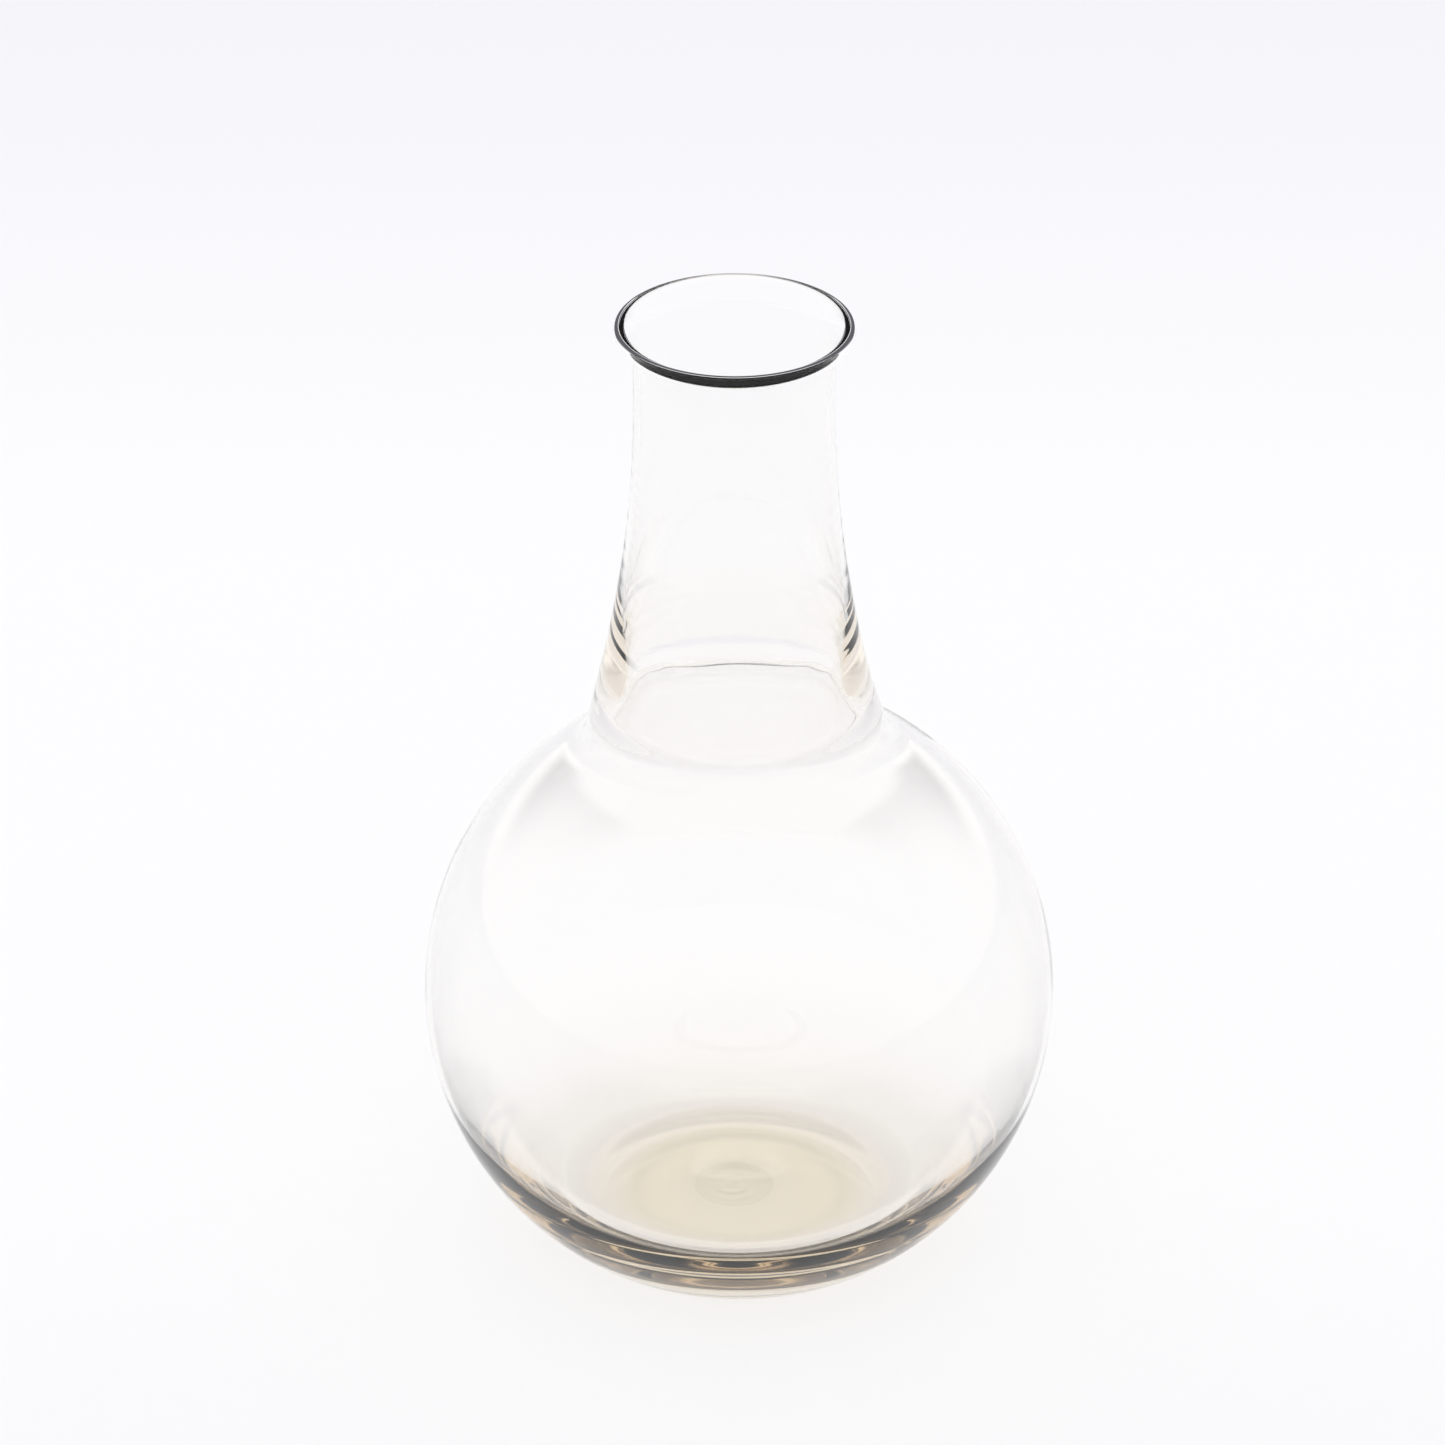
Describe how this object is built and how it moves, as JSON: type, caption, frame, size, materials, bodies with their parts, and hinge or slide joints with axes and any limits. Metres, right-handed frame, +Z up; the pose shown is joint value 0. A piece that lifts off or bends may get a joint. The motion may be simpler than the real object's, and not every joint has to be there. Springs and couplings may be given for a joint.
{
  "type": "flat-bottomed round flask",
  "caption": "Flat-bottomed round glass flask with a long neck that sweeps out into the bulb, a turned-out mouth with a glass thread round the lip, and a thick base.",
  "frame": {"origin": "centre of the flat foot, on the surface the flask stands on", "axes": "+Z up along the neck's axis; +X and +Y are equivalent, the flask is round"},
  "size_m": [0.13, 0.13, 0.2068],
  "materials": {
    "smoke_glass": "gloss",
    "lip_glass": "gloss",
    "seal_glass": "gloss"
  },
  "bodies": {
    "root": {"flask_body": "smoke_glass", "lip_wrap": "lip_glass", "pontil_seal": "seal_glass"}
  },
  "joints": []
}
